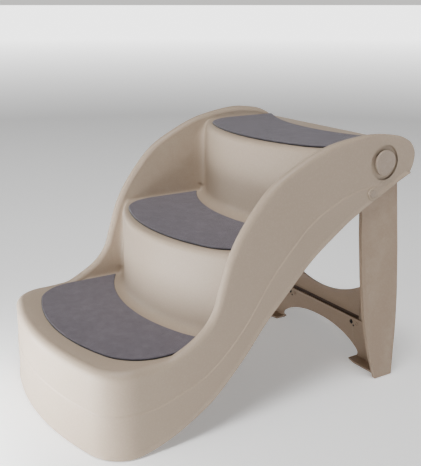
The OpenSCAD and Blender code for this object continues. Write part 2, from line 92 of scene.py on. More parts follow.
# The side walls' top edge, lower edge and crease, as shares of the depth and the height
WALL_TOP = [
    (0.199, 0.319), (0.240, 0.327), (0.314, 0.382), (0.353, 0.444), (0.373, 0.522), (0.402, 0.638),
    (0.447, 0.741), (0.520, 0.853), (0.606, 0.922), (0.704, 0.974), (0.830, 0.999), (0.921, 0.988),
    (0.965, 0.968), (0.987, 0.946), (0.9985, 0.917), (0.9985, 0.889), (0.994, 0.863), (0.984, 0.842),
]
LOWER_EDGE = [
    (0.091, 0.000), (0.116, 0.003), (0.168, 0.014), (0.232, 0.044), (0.287, 0.083), (0.335, 0.124),
    (0.374, 0.170), (0.443, 0.269), (0.504, 0.372), (0.575, 0.471), (0.651, 0.574), (0.749, 0.671),
    (0.809, 0.720), (0.935, 0.808), (0.985, 0.838),
]
CREASE = [
    (0.186, 0.1615), (0.242, 0.185), (0.315, 0.224), (0.383, 0.289), (0.452, 0.392), (0.521, 0.528),
    (0.607, 0.656), (0.668, 0.725), (0.741, 0.773), (0.800, 0.796), (0.836, 0.803), (0.905, 0.813),
    (0.955, 0.829), (0.985, 0.838),
]


def lerp(a, b, t):
    return tuple(p + (q - p) * t for p, q in zip(a, b))


def smoothstep(a, b, x):
    t = max(0.0, min(1.0, (x - a) / (b - a)))
    return t * t * (3 - 2 * t)


def spline(points, steps=8):
    """A Catmull-Rom curve through points in a plane."""
    n = len(points) - 1
    out = []
    for i in range(n):
        a, b, c, d = points[max(i - 1, 0)], points[i], points[i + 1], points[min(i + 2, n)]
        for s in range(steps):
            t = s / steps
            out.append(tuple(
                0.5 * (2 * q + (r - p) * t + (2 * p - 5 * q + 4 * r - w) * t * t
                       + (3 * q - p - 3 * r + w) * t ** 3)
                for p, q, r, w in zip(a, b, c, d)))
    return out + [tuple(points[-1])]


def resample(points, n):
    """n + 1 points at equal distances along an open curve."""
    lengths = [0.0]
    for a, b in zip(points, points[1:]):
        lengths.append(lengths[-1] + math.dist(a, b))
    out, j = [], 0
    for i in range(n + 1):
        want = lengths[-1] * i / n
        while j < len(points) - 2 and lengths[j + 1] < want:
            j += 1
        gap = lengths[j + 1] - lengths[j]
        out.append(lerp(points[j], points[j + 1], (want - lengths[j]) / gap if gap else 0.0))
    return out


def left_normals(points):
    """The unit normal to the left of an open curve at each of its points."""
    n, out = len(points) - 1, []
    for i in range(n + 1):
        a, b = points[max(i - 1, 0)], points[min(i + 1, n)]
        length = math.dist(a, b) or 1.0
        out.append((-(b[1] - a[1]) / length, (b[0] - a[0]) / length))
    return out


def side(shares):
    """A curve of the side walls in Y and Z, from its shares of the depth and the height."""
    return spline([(s[0] * DEPTH - Y_BACK, s[1] * HEIGHT) for s in shares])


def height_at(curve, y):
    """The height of a curve in Y and Z at one place along Y."""
    for a, b in zip(curve, curve[1:]):
        if a[0] <= y <= b[0]:
            return a[1] + (b[1] - a[1]) * (y - a[0]) / ((b[0] - a[0]) or 1.0)
    return curve[0][1] if y < curve[0][0] else curve[-1][1]


def bow(r, x):
    """How far an arc of radius r falls back at a distance x from its middle."""
    return r - math.sqrt(r * r - x * x)


def double_area(outline):
    """Twice the area inside an outline, positive where it runs counter-clockwise."""
    return sum(a[0] * b[1] - b[0] * a[1] for a, b in zip(outline, outline[1:] + outline[:1]))


def counter_clockwise(outline):
    return outline[::-1] if double_area(outline) < 0 else outline


def link(name, mesh):
    """Makes an object of a mesh and puts it in the scene."""
    obj = bpy.data.objects.new(name, mesh)
    bpy.context.scene.collection.objects.link(obj)
    return obj


class Builder:
    """Collects closed shells in millimetres and makes one object of them."""

    def __init__(self):
        self.verts, self.faces = [], []

    def add(self, verts, faces, flip=False):
        start = len(self.verts)
        self.verts += [tuple(v) for v in verts]
        self.faces += [[start + i for i in (reversed(f) if flip else f)] for f in faces]

    def both(self, verts, faces):
        """Adds a shell and its mirror image about the middle plane."""
        self.add(verts, faces)
        self.add([(-v[0], v[1], v[2]) for v in verts], faces, flip=True)

    def make(self, name, angle=35.0, outward=False):
        mesh = bpy.data.meshes.new(name)
        mesh.from_pydata([(v[0] * MM, v[1] * MM, v[2] * MM) for v in self.verts], [], self.faces)
        mesh.validate()
        mesh.update()
        if outward:
            bm = bmesh.new()
            bm.from_mesh(mesh)
            bmesh.ops.recalc_face_normals(bm, faces=bm.faces)
            bm.to_mesh(mesh)
            bm.free()
        mesh.shade_smooth()
        mesh.set_sharp_from_angle(angle=math.radians(angle))
        return link(name, mesh)


def loft(loops, closed_path=False, caps=True):
    """Vertices and faces of a skin over closed loops of the same length."""
    m, n = len(loops), len(loops[0])
    verts = [p for loop in loops for p in loop]
    faces = []
    for i in range(m if closed_path else m - 1):
        k = (i + 1) % m
        for j in range(n):
            h = (j + 1) % n
            faces.append([i * n + j, i * n + h, k * n + h, k * n + j])
    if caps and not closed_path:
        faces.append(list(range(n - 1, -1, -1)))
        faces.append([(m - 1) * n + j for j in range(n)])
    return verts, faces


def lathe(profile, y, z, steps=64):
    """A solid turned about an axis along X, from a closed profile of radius and place along X."""
    loops = []
    for i in range(steps):
        a = 2 * math.pi * i / steps
        loops.append([(x, y + r * math.cos(a), z + r * math.sin(a)) for r, x in profile])
    return loft(loops, closed_path=True)


def prism(outline, x0, x1):
    """A plate with an outline in Y and Z, between two places along X."""
    n = len(outline)
    verts = [(x0, p[0], p[1]) for p in outline] + [(x1, p[0], p[1]) for p in outline]
    faces = [[j, (j + 1) % n, n + (j + 1) % n, n + j] for j in range(n)]
    return verts, faces + [list(range(n - 1, -1, -1)), [n + j for j in range(n)]]


def apply_modifiers(obj):
    dg = bpy.context.evaluated_depsgraph_get()
    mesh = bpy.data.meshes.new_from_object(obj.evaluated_get(dg))
    old = obj.data
    obj.modifiers.clear()
    obj.data = mesh
    bpy.data.meshes.remove(old)


def cut_away(obj, tool, use_self=False):
    """Takes the volume of a tool out of an object and removes the tool."""
    mod = obj.modifiers.new("cut", "BOOLEAN")
    mod.operation, mod.solver, mod.object, mod.use_self = "DIFFERENCE", "EXACT", tool, use_self
    apply_modifiers(obj)
    bpy.data.objects.remove(tool)


# Outer skin: front wall, rim, band, lip and side walls
SIDE_COLS, CORNER_COLS, FRONT_COLS = 150, 26, 34
FRONT_TOTAL = FRONT_COLS + CORNER_COLS
FACE_LOW, FACE_HIGH, ROUND = 9, 12, 9

corner_cx = WALL_X - CORNER_R
corner_cy = Y_FRONT + FRONT_R - math.sqrt((FRONT_R - CORNER_R) ** 2 - corner_cx ** 2)
corner_a = math.acos(corner_cx / (FRONT_R - CORNER_R))

lower_curve = side(LOWER_EDGE)
crease_curve = side(CREASE)
top_curve = side(WALL_TOP)


def plan_columns():
    """Points and outward normals of the front and the corner seen from above, from the middle to the side."""
    out = []
    for i in range(FRONT_COLS):
        a = -math.pi / 2 + (math.pi / 2 - corner_a) * i / FRONT_COLS
        c, s = math.cos(a), math.sin(a)
        out.append(((FRONT_R * c, Y_FRONT + FRONT_R + FRONT_R * s), (c, s)))
    for i in range(CORNER_COLS):
        a = -corner_a + corner_a * i / CORNER_COLS
        c, s = math.cos(a), math.sin(a)
        out.append(((corner_cx + CORNER_R * c, corner_cy + CORNER_R * s), (c, s)))
    return out


def low_z(y):
    """The height of the shell's lower edge."""
    return max(1.0, height_at(lower_curve, y))


plan = plan_columns()
start_y = corner_cy
lower_side = resample([(start_y, low_z(start_y))] + [p for p in lower_curve if p[0] > start_y + 1], SIDE_COLS)
crease_side = resample([(start_y, BAND_Z), (start_y + 10, BAND_Z)]
                       + [p for p in crease_curve if p[0] > start_y + 14], SIDE_COLS)
top_side = resample([(start_y, DECK_Z[0]), (start_y + 9, DECK_Z[0])] + top_curve, SIDE_COLS)
top_normals = left_normals(top_side)
lower_normals = left_normals(lower_side)


def section(w, edge_r, skin=0.0):
    """(inset, drop) across the top of the rim (w = 0) or the wall (w = 1), from the outer face inward."""
    rim, wall = [], []
    for i in range(ROUND + 1):
        a = math.pi / 2 * i / ROUND
        for half, r in ((rim, RIM_R), (wall, edge_r)):
            half.append((r - (r - skin) * math.cos(a), r - (r - skin) * math.sin(a)))
    # From its crown the rim dips a little under the tread, and the wall turns down over its inner edge
    for i in range(1, ROUND + 1):
        a = math.pi / 2 * i / ROUND
        rim.append((RIM_R + 8 * i / ROUND, skin + 0.9 * (i / ROUND) ** 2))
        wall.append((edge_r + (WALL_W - edge_r - skin) * math.sin(a),
                     skin + (WALL_R - skin) * (1 - math.cos(a))))
    rim.append((RIM_R + 9, skin + 1.4))
    wall.append((WALL_W - skin, WALL_R + (1.0 if skin else 0.2)))
    return [lerp(p, q, w) for p, q in zip(rim, wall)]


def outer_column(k):
    """A column of the outer skin as a closed loop, counted from the middle of the front to the side's end."""
    if k < FRONT_TOTAL:
        (px, py), (nx, ny) = plan[k]
        lo, cr, tp = (0.0, low_z(py)), (0.0, BAND_Z), (0.0, DECK_Z[0])
        up = lo_n = (0.0, 1.0)
        w, band, edge_r = 0.0, BAND, WALL_R

        def at(inset, yz):
            return (px - nx * inset, py - ny * inset, yz[1])
    else:
        j = k - FRONT_TOTAL
        lo, cr, tp = lower_side[j], crease_side[j], top_side[j]
        up, lo_n = top_normals[j], lower_normals[j]
        w = smoothstep(*WALL_START, tp[0]) if j < SIDE_COLS / 2 else 1.0
        band = BAND * (1.0 - smoothstep(*BAND_FADE, j / SIDE_COLS))
        edge_r = WALL_R + (WALL_END_R - WALL_R) * smoothstep(*SHARP_END, tp[0])

        def at(inset, yz):
            return (WALL_X - inset, yz[0], yz[1])

    # The edges' rounds shrink where the wall tapers to less than its own thickness
    tight = min(1.0, math.dist(lo, tp) / WALL_W)

    def above(rise):
        """The place at one height over the lower edge."""
        return (lo[0] + lo_n[0] * rise * tight, lo[1] + lo_n[1] * rise * tight)

    def below(drop):
        """The place at one depth under the top edge."""
        return (tp[0] - up[0] * drop, tp[1] - up[1] * drop)

    outer = [(inset, drop * tight) for inset, drop in section(w, edge_r)]
    inner = [(inset, drop * tight) for inset, drop in section(w, edge_r, SKIN)]
    lip, base, start = BAND + LIP, above(LIP_H + 0.6), below(outer[0][1])
    loop = [at(-lip + 1.0, above(0.0)), at(-lip + 0.25, above(0.3)), at(-lip, above(0.9)),
            at(-lip, above(2.0)), at(-band - 0.06, above(LIP_H)), at(-band, base)]
    loop += [at(-band, lerp(base, cr, i / FACE_LOW)) for i in range(1, FACE_LOW + 1)]
    length = math.dist(cr, start) or 1.0
    first = lerp(cr, start, min(0.5, CHAMFER / length))
    loop += [at(-band * 0.96, lerp(cr, start, min(0.1, 0.15 / length))), at(0.0, first)]
    loop += [at(0.0, lerp(first, start, i / FACE_HIGH)) for i in range(1, FACE_HIGH)]
    loop += [at(inset, below(drop)) for inset, drop in outer + inner[::-1]]
    inside = below(inner[0][1])
    return loop + [at(SKIN, lerp(inside, lo, t)) for t in (0.25, 0.5, 0.75, 1.0)]


loops = [outer_column(k) for k in range(FRONT_TOTAL + SIDE_COLS + 1)]
mirrored = [[(-x, y, z) for x, y, z in loop] for loop in loops[1:]]
outer_skin = Builder()
outer_skin.add(*loft(mirrored[::-1] + loops))
outer_obj = outer_skin.make("outer_skin", 22.0)

# The bores behind the pivot caps and lock buttons, and the shallow dish in which each cap sits,
# as profiles of radius and place along X
BORE_IN, BORE_OUT = 181.0, 196.0
PIVOT_BORE = [
    (AXIS_R, BORE_IN), (8.1, BORE_IN), (8.1, 188.7), (20.1, 188.7), (20.3, 189.25), (24.0, 189.42),
    (27.0, 189.5), (28.5, 189.56), (28.5, BORE_OUT), (AXIS_R, BORE_OUT),
]
BUTTON_BORE = [(AXIS_R, BORE_IN), (8.0, BORE_IN), (8.0, BORE_OUT), (AXIS_R, BORE_OUT)]
cutter = Builder()
cutter.both(*lathe(PIVOT_BORE, *PIVOT, 72))
cutter.both(*lathe(BUTTON_BORE, *BUTTON, 72))
cut_away(outer_obj, cutter.make("bore_cutter", outward=True))


# Treads and risers, in one skin between the walls
def front_limit(x):
    """Where the bottom deck begins behind the rounded rim."""
    inset, x = RIM_R - 0.6, abs(x)
    if x < (FRONT_R - inset) * math.cos(corner_a):
        return Y_FRONT + FRONT_R - math.sqrt((FRONT_R - inset) ** 2 - x * x)
    return corner_cy - math.sqrt(max(0.0, (CORNER_R - inset) ** 2 - (x - corner_cx) ** 2))


def stair_profile(x):
    """The upper surface of the stairs at one place across them, front to rear, as (y, z, normal)."""
    pts = []

    def line(a, b, n, steps, last=False):
        for i in range(steps + (1 if last else 0)):
            pts.append((*lerp(a, b, i / steps), n))

    def turn(cy, cz, r, a0, a1, steps, out):
        for i in range(steps):
            a = math.radians(a0 + (a1 - a0) * i / steps)
            pts.append((cy + r * math.cos(a), cz + r * math.sin(a), (out * math.cos(a), out * math.sin(a))))

    y = front_limit(x)
    for i in (0, 1):
        riser = RISER_Y[i + 1] + bow(RISER_R, x)
        line((y, DECK_Z[i]), (riser - BASE_R, DECK_Z[i]), (0.0, 1.0), 12)
        turn(riser - BASE_R, DECK_Z[i] + BASE_R, BASE_R, -90, 0, 9, -1)
        line((riser, DECK_Z[i] + BASE_R), (riser, DECK_Z[i + 1] - NOSE_R), (-1.0, 0.0), 8)
        turn(riser + NOSE_R, DECK_Z[i + 1] - NOSE_R, NOSE_R, 180, 90, 10, 1)
        y = riser + NOSE_R
    line((y, DECK_Z[2]), (DECK_BACK - REAR_R, DECK_Z[2]), (0.0, 1.0), 12)
    turn(DECK_BACK - REAR_R, DECK_Z[2] - REAR_R, REAR_R, 90, 0, 7, 1)
    line((DECK_BACK, DECK_Z[2] - REAR_R), (DECK_BACK, DECK_Z[2] - REAR_DROP), (1.0, 0.0), 4, True)
    return pts


def fillet_reach(y, z, n):
    """How far the fillet against a side wall climbs at one place, given the height of the wall there."""
    room = min(math.dist((max(y, start_y), z), p) for p in top_side)
    full = FILLET + RISER_FILLET * n[0] ** 2 if n[0] < 0 else FILLET
    return max(0.0, min(full, 0.75 * (room - WALL_R)))


reaches = [fillet_reach(*p) for p in stair_profile(WALL_IN)]


def step_column(x):
    """The treads and risers at one place across them, as a closed loop with the fillet's rise near a wall."""
    d = max(WALL_IN - abs(x), 0.0)
    slope = abs(x) / math.sqrt(RISER_R ** 2 - x * x)
    outer, inner = [], []
    for (y, z, n), k in zip(stair_profile(x), reaches):
        t = 0.0
        if d < k:
            t = (math.sqrt(k) - math.sqrt(d)) ** 2 * math.sqrt(1 + (n[0] * slope) ** 2)
        outer.append((x, y + n[0] * t, z + n[1] * t))
        inner.append((x, y - n[0] * SKIN, z - n[1] * SKIN))
    return outer + inner[::-1]


def across():
    """The places of the columns along X, even in the middle and close together in the fillets."""
    even_cols, fillet_cols = 26, 12
    reach = max(reaches)
    even = [WALL_IN * 0.94 * i / even_cols for i in range(even_cols + 1)]
    fillet = [WALL_IN - reach * (i / fillet_cols) ** 2 for i in range(fillet_cols - 1, -1, -1)]
    half = [x for x in even if x < fillet[0] - 2.0] + fillet + [WALL_IN + 2.9]
    return [-x for x in reversed(half)] + half[1:]


steps_skin = Builder()
steps_skin.add(*loft([step_column(x) for x in across()]), flip=True)

# Inner skins of the side walls, from TUCK behind the treads' surface up to TOP_DROP under the top edge
TUCK, TOP_DROP = 1.5, 7.6
inner_low = [(y - n[0] * TUCK, z - n[1] * TUCK) for y, z, n in stair_profile(WALL_IN)]
inner_top = [(p[0] - n[0] * TOP_DROP, p[1] - n[1] * TOP_DROP) for p, n in zip(top_side, top_normals)]
inner_top = [p for p in inner_top if p[1] > DECK_Z[0] - 1.0]
first_y, last_y = inner_top[0][0], DECK_BACK + 1.0
inner_low = [(first_y, DECK_Z[0] - TUCK)] + [p for p in inner_low if p[0] > first_y + 0.5]
end_low = [(last_y, height_at(lower_side, last_y))] + [p for p in lower_side if p[0] > last_y]
outline = inner_top + end_low[::-1] + inner_low[::-1]
outline = counter_clockwise(resample(outline + outline[:1], 420)[:-1])
steps_skin.both(*prism(outline, WALL_IN, WALL_IN + SKIN))

# Ribs under the treads
RIB_PITCH, RIB_H = 76.0, 11.0
for i in range(3):
    for k in ((-1, 0, 1) if i == 0 else (-2, -1, 0, 1, 2)):
        x = k * RIB_PITCH
        y0 = RISER_Y[i] + bow(FRONT_R if i == 0 else RISER_R, x) + 2.5
        y1 = RISER_Y[i + 1] + bow(RISER_R, x) + 2.0 if i < 2 else DECK_BACK - 2.0
        z1 = DECK_Z[i] - 2.0
        z0 = z1 - RIB_H
        drop = RIM_R if i == 0 else NOSE_R
        steps_skin.add(*loft([
            [(x - half, y0 + inset, z), (x + half, y0 + inset, z), (x + half, y1, z), (x - half, y1, z)]
            for z, half, inset in ((z0, 1.2, 0.0), (z0 + 0.4, 1.35, 0.0), (z1 - drop * 0.75, 1.6, 0.0),
                                   (z1, 1.7, drop))]))

# Collars round the lock buttons, open for the button
COLLAR = [
    (9.5, 185.2), (9.5, 191.9), (9.3, 192.3), (8.9, 192.5), (6.5, 192.5), (6.0, 192.4), (5.65, 192.1),
    (5.65, 191.35), (6.85, 191.3), (6.85, 185.2),
]
steps_skin.both(*lathe(COLLAR, *BUTTON, 72))

# Lugs that carry the foot pads: discs drawn out forward or sideways into the shell's wall
LUG_R = 9
pad_x = 0.62 * WALL_IN
pad_y = Y_FRONT + bow(FRONT_R, pad_x) + SKIN + LUG_R + 1
for cx, cy, reach in ((pad_x, pad_y, (0, -12)), (WALL_IN - LUG_R, Y_FRONT + CORNER_R, (22, 0))):
    ring = []
    for i in range(28):
        a = 2 * math.pi * i / 28
        px, py = LUG_R * math.cos(a), LUG_R * math.sin(a)
        if reach[1] and py < 0:
            py = reach[1] if abs(px) < 8.9 else -3
        if reach[0] and px > 0:
            px = reach[0] - (4.5 if py > 0 else 6.5)
        ring.append((cx + px, cy + py))
    steps_skin.both(*loft([[(x, y, z) for x, y in ring] for z in (2.0, 5.0)]))

steps_obj = steps_skin.make("steps_skin")

bpy.ops.object.select_all(action="DESELECT")
for o in (outer_obj, steps_obj):
    o.select_set(True)
bpy.context.view_layer.objects.active = outer_obj
bpy.ops.object.join()
shell = outer_obj
shell.name = "moulded_shell"
shell.data.name = "moulded_shell"

# Felt mats: their gaps to the walls and to the riser behind, the radii of their front, their distance behind
# each tread's front edge and their thickness
MAT_GAP, MAT_REAR_GAP, MAT_FRONT_R, MAT_CORNER_R = 3.0, 18.0, 330.0, 74.0
BOTTOM_SETBACK, UPPER_SETBACK = 33.0, 14.0
FELT = 3.0


def bowed(w, front, r, corner, back):
    """A bow between two round corners, seen from above, clockwise and open at the back."""
    arc_steps, corner_steps = 60, 24
    cx = w / 2 - corner
    cy = front + r - math.sqrt((r - corner) ** 2 - cx * cx)
    a = math.acos(cx / (r - corner))
    pts = [(w / 2, back)]
    for i in range(corner_steps + 1):
        b = -a * i / corner_steps
        pts.append((cx + corner * math.cos(b), cy + corner * math.sin(b)))
    for i in range(1, arc_steps):
        b = -a + (2 * a - math.pi) * i / arc_steps
        pts.append((r * math.cos(b), front + r + r * math.sin(b)))
    for i in range(corner_steps + 1):
        b = (a - math.pi) - a * i / corner_steps
        pts.append((-cx + corner * math.cos(b), cy + corner * math.sin(b)))
    return pts + [(-w / 2, back)]


def mat_outline(front, rear, back_limit):
    """Seen from above, counter-clockwise, with evenly spaced points."""
    w = 2 * (WALL_IN - MAT_GAP)
    r = RISER_R + MAT_REAR_GAP
    a = math.asin(w / 2 / r)
    edge = [(r * math.sin(b), rear + r - r * math.cos(b)) for b in
            [a - 2 * a * i / 70 for i in range(71)]]
    pts = bowed(w, front, MAT_FRONT_R, MAT_CORNER_R, edge[0][1])[::-1] + edge[1:-1]
    pts = [(x, min(y, back_limit)) for x, y in pts]
    keep = [pts[0]]
    for p in pts[1:]:
        if math.dist(p, keep[-1]) > 0.05:
            keep.append(p)
    return resample(keep + keep[:1], 260)[:-1]


def inset_loop(loop, d):
    """A closed counter-clockwise loop moved inward by d."""
    n, out = len(loop), []
    for i in range(n):
        a, b = loop[i - 1], loop[(i + 1) % n]
        length = math.dist(a, b) or 1.0
        out.append((loop[i][0] - (b[1] - a[1]) / length * d, loop[i][1] + (b[0] - a[0]) / length * d))
    return out


def make_mat(name, deck, front, rear, back_limit=math.inf):
    """A felt mat on a deck, with a dark rim of its glued backing."""
    base = counter_clockwise(mat_outline(front, rear, back_limit))
    n = len(base)
    cy = sum(p[1] for p in base) / n

    def ring(d, z):
        return [(x, y, deck + z) for x, y in inset_loop(base, d)]

    rings = [ring(d, z) for d, z in (
        (2.0, 0.05), (0.7, 0.05), (0.55, 0.6), (0.55, 2.1), (0.75, 2.6), (1.15, 2.95), (1.9, 3.08))]
    inner = inset_loop(base, 3.2)
    shrink = 18
    for i in range(shrink):
        s = 1 - i / shrink
        points = []
        for x, y in inner:
            px, py = x * s, cy + (y - cy) * s
            h = (0.16 * noise.noise(Vector((px * 0.02, py * 0.02, deck)))
                 + 0.10 * noise.noise(Vector((px * 0.11, py * 0.11, 7.0))))
            points.append((px, py, deck + FELT + h * min(1.0, (1 - s) * 12 + 0.2)))
        rings.append(points)
    v, f = loft(rings, caps=False)
    f.append(list(range(n - 1, -1, -1)))
    v.append((0.0, cy, deck + FELT))
    last = (len(rings) - 1) * n
    f += [[last + j, last + (j + 1) % n, len(v) - 1] for j in range(n)]
    felt = Builder()
    felt.add(v, f)
    piece = felt.make(name, 60)
    edge = Builder()
    edge_rings = [ring(d, z) for d, z in (
        (1.4, 0.0), (0.25, 0.0), (0.0, 0.3), (0.0, 1.9), (0.25, 2.2), (1.0, 2.3))]
    edge.add(*loft(list(zip(*edge_rings)), closed_path=True))
    rim = edge.make(name + "_edge", 50)
    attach(piece, "shell")
    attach(rim, "shell")
    return piece, rim


mats = [
    make_mat("felt_bottom", DECK_Z[0],
             RISER_Y[0] + BOTTOM_SETBACK, RISER_Y[1] - MAT_REAR_GAP),
    make_mat("felt_middle", DECK_Z[1],
             RISER_Y[1] + UPPER_SETBACK, RISER_Y[2] - MAT_REAR_GAP),
    make_mat("felt_top", DECK_Z[2],
             RISER_Y[2] + UPPER_SETBACK, DECK_BACK - 48.0, DECK_BACK - MAT_GAP),
]
for (piece, rim), node in zip(mats, ("tread_mat_bottom", "tread_mat_middle", "tread_mat_top")):
    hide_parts(node)

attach(shell, "shell")
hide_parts("shell_bottom_step", "shell_middle_step", "shell_top_step", "shell_left_side",
            "shell_right_side")


# Leg frame, pivots, buttons and screws. SOFT_EDGE is in metres. SCREW_R is the radius of the screws' heads
# in the CAD, which gives the screws' axes from the box round them.
SOFT_EDGE = 0.0008
SEAM_DEPTH, SEAM_HALF = 2.0, 103.0
CAP_R, PIN_R = 19.0, 8.0
HEAD_R, STEM_R, FLANGE_R = 5.4, 1.95, 6.6
SCREW_R = 4.0


def stand_for(obj, node, body):
    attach(obj, body)
    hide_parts(node)
    return obj


def even_normals(obj):
    """Keeps the flat faces flat beside their rounded edges."""
    mod = obj.modifiers.new("normals", "WEIGHTED_NORMAL")
    mod.keep_sharp = True
    mod.weight = 80
    apply_modifiers(obj)


def softened(node, name, width):
    """A copy of a moulded CAD solid with rounded edges."""
    bm = bmesh.new()
    bm.from_mesh(nodes[node].data)
    bmesh.ops.remove_doubles(bm, verts=bm.verts, dist=0.00001)
    bmesh.ops.dissolve_limit(bm, angle_limit=math.radians(1.0), verts=bm.verts, edges=bm.edges)
    sharp = [e for e in bm.edges if len(e.link_faces) == 2 and e.calc_face_angle(0.0) > math.radians(30.0)]
    bmesh.ops.bevel(bm, geom=sharp, offset=width, segments=3, profile=0.5, affect="EDGES", clamp_overlap=True)
    mesh = bpy.data.meshes.new(name)
    bm.to_mesh(mesh)
    bm.free()
    mesh.shade_smooth()
    mesh.set_sharp_from_angle(angle=math.radians(40.0))
    obj = link(name, mesh)
    even_normals(obj)
    return obj


frame_pieces = [stand_for(softened(node, node + "_moulded", SOFT_EDGE), node, "leg_frame")
                for node in ("left_leg", "right_leg", "upper_brace", "lower_brace")]
upper_brace = frame_pieces[2]

# The sunk seam of the upper brace along the top edge of the lower one
front_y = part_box("upper_brace")[0][1] / MM
seam_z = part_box("lower_brace")[1][2] / MM
seam_profile = ((front_y - 1.0, seam_z - 4.0), (front_y + SEAM_DEPTH, seam_z - 4.0),
                (front_y + SEAM_DEPTH, seam_z + 5.6), (front_y - 1.0, seam_z + 6.6))
seam = Builder()
seam.add(*loft([[(x, y, z) for y, z in seam_profile] for x in (-SEAM_HALF, SEAM_HALF)]))
cut_away(upper_brace, seam.make("seam_cut", outward=True))


def round_edge(r, x, radius, steps=5):
    """A rounded outer edge, as points of radius and place along X."""
    return [(r - radius + radius * math.cos(a), x - radius + radius * math.sin(a))
            for a in [math.pi / 2 * i / steps for i in range(steps + 1)]]


def x_ends(box):
    """The inner and the outer end of a box beside the middle plane, in millimetres from that plane."""
    return [x / MM for x in sorted((abs(box[0][0]), abs(box[1][0])))]


def turned(name, profile, centre, sign, steps):
    """A solid turned about an axis along X, from its profile on the right side."""
    solid = Builder()
    solid.add(*lathe([(r, sign * x) for r, x in profile], *centre, steps))
    return solid.make(name, 32, True)


button_pieces, cap_pieces = [], []
for side_name, sign in (("left", -1), ("right", 1)):
    inner_end, outer_end = x_ends(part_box(side_name + "_pivot_pin"))
    profile = [(AXIS_R, inner_end), (7.5, inner_end), (PIN_R, inner_end + 0.5), (PIN_R, 188.9), (18.2, 188.9),
               (18.8, 189.4), *round_edge(CAP_R, outer_end, 1.4), (13.0, outer_end + 0.05),
               (6.0, outer_end + 0.1), (AXIS_R, outer_end + 0.1)]
    cap = turned(side_name + "_pivot_cap", profile, PIVOT, sign, 96)
    cap_pieces.append(stand_for(cap, side_name + "_pivot_pin", "shell"))

    inner_end, outer_end = x_ends(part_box(side_name + "_lock_button"))
    profile = [(AXIS_R, inner_end), (STEM_R, inner_end), (STEM_R, 190.15), (FLANGE_R, 190.15),
               (FLANGE_R, 191.25), (HEAD_R, 191.25), *round_edge(HEAD_R, outer_end, 0.8),
               (4.0, outer_end - 0.15), (3.0, outer_end - 0.4), (AXIS_R, outer_end - 0.5)]
    button = turned(side_name + "_button", profile, BUTTON, sign, 72)
    button_pieces.append(stand_for(button, side_name + "_lock_button", side_name + "_button"))


def add_along_y(builder, profile, cx, cz, steps):
    """Adds a solid turned about an axis along Y, from a profile of radius and place along Y."""
    v, f = lathe(profile, 0.0, 0.0, steps)
    builder.add([(cx + p[1], p[0], cz + p[2]) for p in v], f)


def screw_set(name, node, places, start, end):
    """Cross-head screws along Y, their heads facing the front."""
    body, cross = Builder(), Builder()
    profile = [(AXIS_R, end), (1.9, end), (1.9, start + 1.8), (3.9, start + 1.5), (3.9, start + 0.7),
               (3.6, start + 0.25), (2.6, start + 0.05), (AXIS_R, start)]
    corners = ((-1, -1), (1, -1), (1, 1), (-1, 1))
    for cx, cz in places:
        add_along_y(body, profile, cx, cz, 40)
        for wide, deep in ((2.5, 0.45), (0.45, 2.5)):
            cross.add(*loft([[(cx + sx * wide * s, y, cz + sz * deep * s) for sx, sz in corners]
                             for y, s in ((start - 1.0, 1.0), (start + 0.5, 1.0), (start + 1.2, 0.45))]))
    obj = body.make(name, 32, True)
    cut_away(obj, cross.make(name + "_cut", 32, True), True)
    return stand_for(obj, node, "leg_frame")


screw_pieces = []
low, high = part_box("brace_screws")
screw_pieces.append(screw_set(
    "brace_screw_set", "brace_screws",
    [(s * (high[0] / MM - SCREW_R), (low[2] + high[2]) / 2 / MM) for s in (-1, 1)],
    low[1] / MM, high[1] / MM))
low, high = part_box("leg_screws")
screw_pieces.append(screw_set(
    "leg_screw_set", "leg_screws",
    [(s * (high[0] / MM - SCREW_R), z) for s in (-1, 1)
     for z in (low[2] / MM + SCREW_R, high[2] / MM - SCREW_R)],
    low[1] / MM, high[1] / MM))

# Beside each screw of the lower brace, a small locating peg and then a raised ring of the moulding
low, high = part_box("brace_screws")
front, cz = low[1] / MM, (low[2] + high[2]) / 2 / MM
PEG = [(AXIS_R, front + 3.0), (1.9, front + 3.0), (1.9, front - 0.15), (1.5, front - 0.3), (1.1, front - 0.1),
       (AXIS_R, front - 0.1)]
RING = [(2.0, front + 1.0), (3.4, front + 1.0), (3.4, front - 0.3), (3.1, front - 0.55), (2.3, front - 0.55),
        (2.0, front - 0.3)]
pegs, marks = Builder(), Builder()
for s in (-1, 1):
    cx = s * (high[0] / MM - SCREW_R)
    add_along_y(pegs, PEG, cx + 6.3, cz - 5.4, 32)
    add_along_y(marks, RING, cx + 14.4, cz, 36)
peg_obj = pegs.make("brace_pegs", 32, True)
mark_obj = marks.make("brace_rings", 32, True)
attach(mark_obj, "leg_frame")
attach(peg_obj, "leg_frame")


# Materials
def new_material(name):
    mat = bpy.data.materials.new(name)
    mat.use_nodes = True
    nt = mat.node_tree
    nt.nodes.clear()
    out = nt.nodes.new("ShaderNodeOutputMaterial")
    shader = nt.nodes.new("ShaderNodeBsdfPrincipled")
    nt.links.new(shader.outputs["BSDF"], out.inputs["Surface"])
    coords = nt.nodes.new("ShaderNodeTexCoord")
    return mat, nt, shader, coords.outputs["Object"]


def noise_node(nt, where, scale, detail=3.0, rough=0.5, distortion=0.0):
    n = nt.nodes.new("ShaderNodeTexNoise")
    n.inputs["Scale"].default_value = scale
    n.inputs["Detail"].default_value = detail
    n.inputs["Roughness"].default_value = rough
    n.inputs["Distortion"].default_value = distortion
    nt.links.new(where, n.inputs["Vector"])
    return n.outputs["Fac"]


def ramp(nt, fac, stops):
    r = nt.nodes.new("ShaderNodeValToRGB")
    while len(r.color_ramp.elements) < len(stops):
        r.color_ramp.elements.new(0.5)
    for element, (pos, colour) in zip(r.color_ramp.elements, stops):
        element.position = pos
        element.color = (*colour, 1.0)
    nt.links.new(fac, r.inputs["Fac"])
    return r.outputs["Color"]


